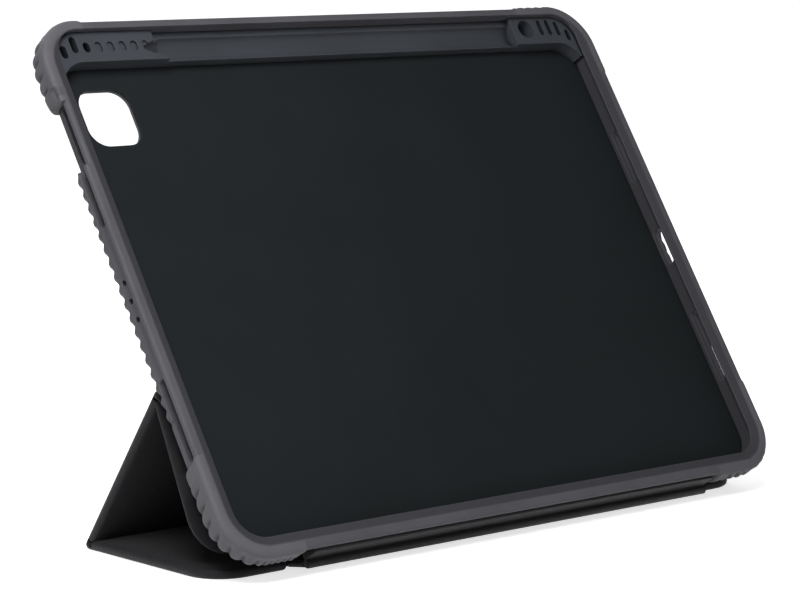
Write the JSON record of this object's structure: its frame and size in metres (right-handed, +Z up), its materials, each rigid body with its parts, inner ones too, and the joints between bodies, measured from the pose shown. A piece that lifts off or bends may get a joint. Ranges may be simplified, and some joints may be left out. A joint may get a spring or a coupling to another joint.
{
  "type": "tablet case",
  "caption": "Ribbed bumper case for a tablet, with a pen tray along its top edge and a cover that folds behind it into a triangular stand.",
  "frame": {"origin": "centre of the base panel's underside, on the table", "axes": "+X along the case's long side, to the right as its front is seen; +Y to the rear; +Z up"},
  "size_m": [0.2596, 0.1155, 0.177],
  "materials": {
    "frame_rubber": "matte moulded soft polymer",
    "bumper_rubber": "matte moulded soft polymer, a shade lighter",
    "slate_shell": "fine matte moulded plastic",
    "cover_skin": "fine-grained matte synthetic leather",
    "cover_lining": "short-napped microfibre",
    "board": "plain fibre board",
    "steel": "plated"
  },
  "bodies": {
    "case": {"bumper_frame": "frame_rubber", "back_plate": "slate_shell", "corner_bumper_top_left": "bumper_rubber", "corner_bumper_top_right": "bumper_rubber", "corner_bumper_bottom_left": "bumper_rubber", "corner_bumper_bottom_right": "bumper_rubber", "tray_tip_block": "slate_shell", "tray_end_block": "slate_shell", "tray_cradle": "slate_shell", "camera_bezel": "frame_rubber", "keeper_plate": "steel", "spine_anchor": "cover_skin"},
    "spine": {"spine_skin": "cover_skin", "spine_stiffener": "board", "spine_lining": "cover_lining"},
    "base": {"front_fold": "cover_skin", "base_skin": "cover_skin", "base_board": "board", "base_lining": "cover_lining", "rear_fold": "cover_skin"},
    "strut": {"strut_skin": "cover_skin", "strut_board": "board", "strut_lining": "cover_lining", "top_fold": "cover_skin"},
    "flap": {"flap_skin": "cover_skin", "flap_board": "board", "flap_lining": "cover_lining", "flap_magnets": "steel"}
  },
  "joints": [
    {"name": "spine_fold", "type": "hinge", "parent": "case", "child": "spine", "pos_m": [0, -0.04493, 0.0035], "axis": [-1, 0, 0], "range_deg": [0, 204.71]},
    {"name": "base_fold", "type": "hinge", "parent": "spine", "child": "base", "pos_m": [0, -0.03325, 0.0018], "axis": [-1, 0, 0], "range_deg": [0, 98.28]},
    {"name": "rear_fold", "type": "hinge", "parent": "base", "child": "strut", "pos_m": [0, 0.03325, 0.0018], "axis": [-1, 0, 0], "range_deg": [0, 125.09]},
    {"name": "top_fold", "type": "hinge", "parent": "strut", "child": "flap", "pos_m": [0, -0.00585, 0.05744], "axis": [-1, 0, 0], "range_deg": [0, 119.9]}
  ],
  "couplings": [
    {"joint": "spine_fold", "follows": "base_fold", "ratio": 2.0829},
    {"joint": "rear_fold", "follows": "base_fold", "ratio": 1.2728},
    {"joint": "top_fold", "follows": "base_fold", "ratio": 1.22}
  ]
}
